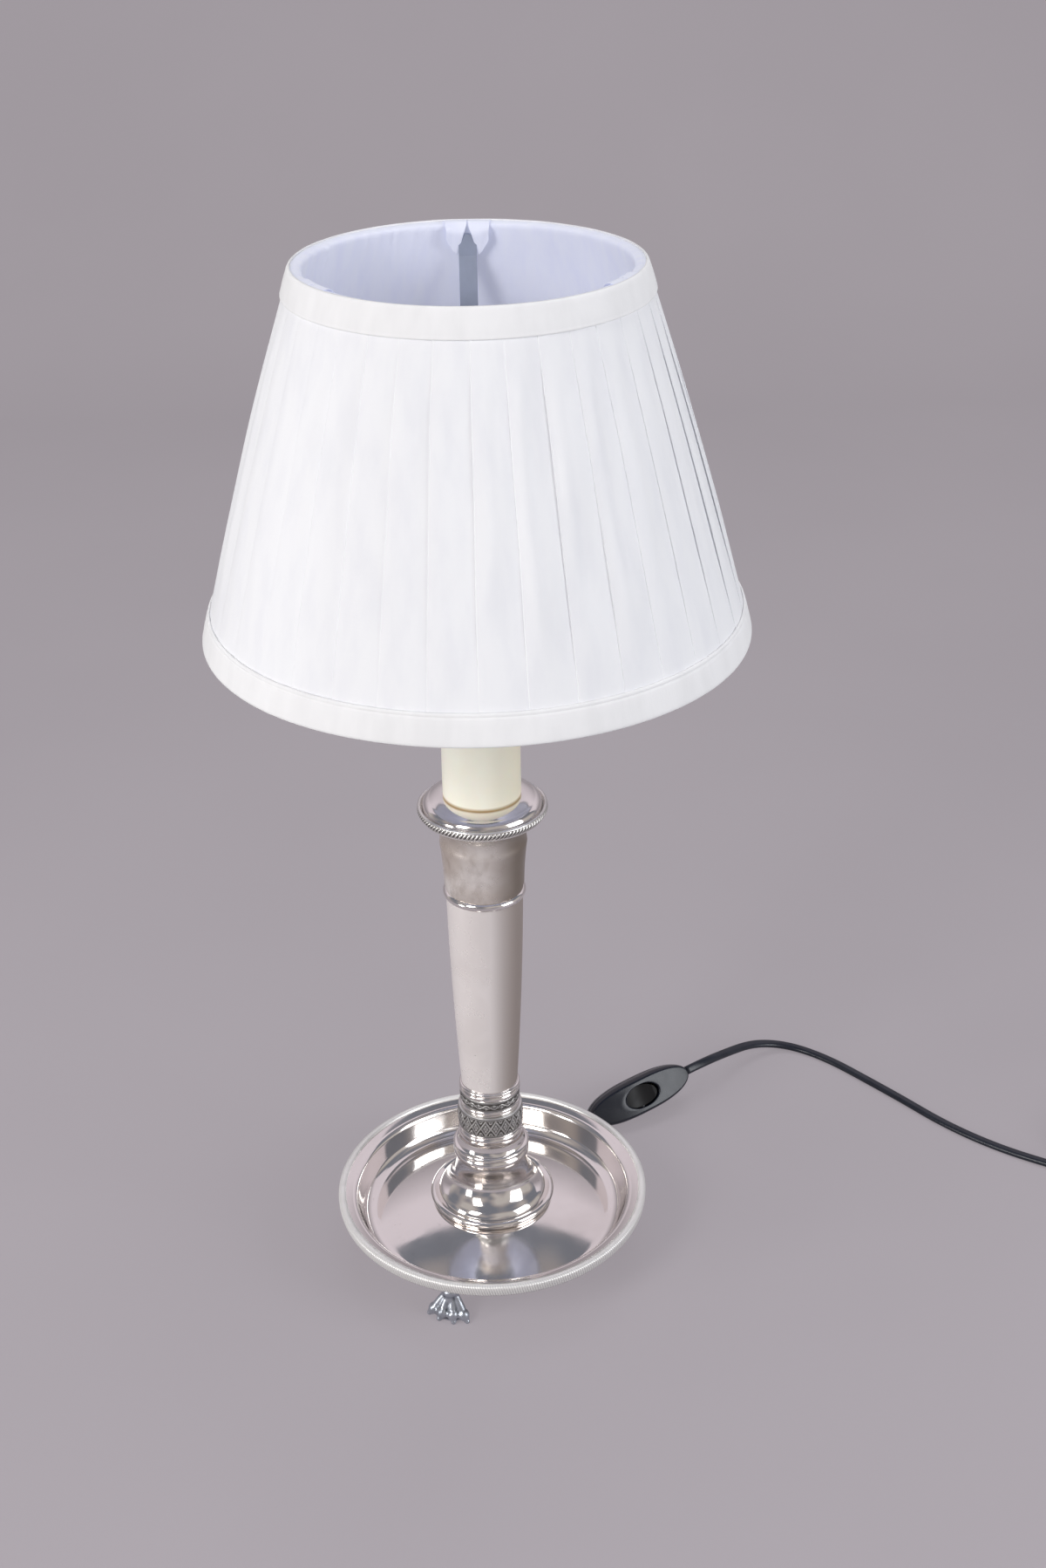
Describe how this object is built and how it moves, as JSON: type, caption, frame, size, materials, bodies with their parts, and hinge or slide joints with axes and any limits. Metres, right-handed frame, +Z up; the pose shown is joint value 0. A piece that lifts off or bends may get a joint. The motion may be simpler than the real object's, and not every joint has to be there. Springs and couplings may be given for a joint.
{
  "type": "candle lamp with shade",
  "caption": "Silver-plated chamber candlestick made into a table lamp, with a footed drip tray, tapered column, cream candle tube, pleated cloth shade and in-line rocker switch.",
  "frame": {"origin": "on the table under the middle of the stem", "axes": "+Z up the stem, -Y towards the front foot's side, +X to the side the cord leads to"},
  "size_m": [0.5555, 0.304, 0.551],
  "materials": {
    "silver_plate": "polished silver plate, warm grey",
    "silver_border": "milled and rope borders, polished with dark recesses",
    "silver_engraved": "engraved friezes, tarnish in the lines",
    "silver_patina": "silver plate, mottled brown tarnish",
    "silver_cast": "cast feet, worn bright on the toes",
    "inner_metal": "plain brass",
    "zinc_steel": "zinc plated",
    "candle_cream": "cream, satin, imitating wax",
    "holder_plastic": "ivory moulded thermoset",
    "contact_brass": "nickel-free brass",
    "bulb_glass": "opal frosted",
    "bulb_metal": "bright",
    "shade_cloth": "white pleated cloth",
    "lining_cloth": "smooth pale lining, faint lilac",
    "trim_cloth": "white flat ribbon",
    "frame_white": "white coated wire and strip",
    "switch_black": "black, satin gloss",
    "cord_black": "black PVC, satin",
    "pin_metal": "nickel plated"
  },
  "bodies": {
    "base": {"drip_tray": "silver_plate", "tray_border": "silver_border", "paw_foot_front": "silver_cast", "paw_foot_right": "silver_cast", "paw_foot_left": "silver_cast", "base_boss": "silver_plate", "knop": "silver_plate", "lower_ring": "silver_plate", "wide_frieze_band": "silver_engraved", "middle_ring": "silver_plate", "narrow_frieze_band": "silver_engraved", "upper_ring": "silver_plate", "stem_core": "inner_metal", "column": "silver_patina", "astragal_ring": "silver_plate", "candle_cup": "silver_patina", "cup_border": "silver_border", "drip_pan": "silver_plate", "threaded_tube": "zinc_steel", "bottom_washer": "zinc_steel", "bottom_nut": "zinc_steel", "cup_nut": "zinc_steel", "pan_nut": "zinc_steel", "cord_bush": "switch_black", "inner_flex": "cord_black", "candle_tube": "candle_cream", "closing_ring": "candle_cream", "holder_cap": "holder_plastic", "holder_insulator": "holder_plastic", "holder_contact": "contact_brass", "terminal_screws": "zinc_steel", "holder_sleeve": "holder_plastic", "holder_screw_shell": "contact_brass", "switch_upper_shell": "switch_black", "switch_lower_shell": "switch_black", "switch_pivot_pin": "zinc_steel", "switch_terminals": "contact_brass", "switch_screws": "zinc_steel", "cord_lamp_to_switch": "cord_black", "cord_switch_to_coil": "cord_black", "cord_coil": "cord_black", "coil_tie": "switch_black", "plug_strain_relief": "cord_black", "plug_body": "switch_black", "plug_pins": "pin_metal"},
    "rocker": {"switch_rocker": "switch_black"},
    "shade": {"shade_fitter": "frame_white", "shade_top_wire": "frame_white", "shade_bottom_wire": "frame_white", "shade_struts": "frame_white", "shade_lining": "lining_cloth", "shade_cover": "shade_cloth", "shade_top_trim": "trim_cloth", "shade_bottom_trim": "trim_cloth"},
    "shade_ring": {"shade_ring": "holder_plastic"},
    "bulb": {"bulb_glass": "bulb_glass", "bulb_cap": "bulb_metal", "bulb_contact": "contact_brass", "bulb_stem": "bulb_glass"}
  },
  "joints": [
    {"name": "switch_rocker_tip", "type": "hinge", "parent": "base", "child": "rocker", "pos_m": [0.09053, 0.10752, 0.01544], "axis": [-0.353, 0.4125, 0.8398], "range_deg": [0, 16]},
    {"name": "shade_turn", "type": "hinge", "parent": "base", "child": "shade", "pos_m": [0, 0, 0.4], "axis": [0, 0, 1], "continuous": true},
    {"name": "shade_ring_unscrew", "type": "hinge", "parent": "base", "child": "shade_ring", "pos_m": [0, 0, 0.405], "axis": [0, 0, 1], "range_deg": [0, 1080]},
    {"name": "bulb_unscrew", "type": "hinge", "parent": "base", "child": "bulb", "pos_m": [0, 0, 0.42], "axis": [0, 0, 1], "range_deg": [0, 900]}
  ]
}
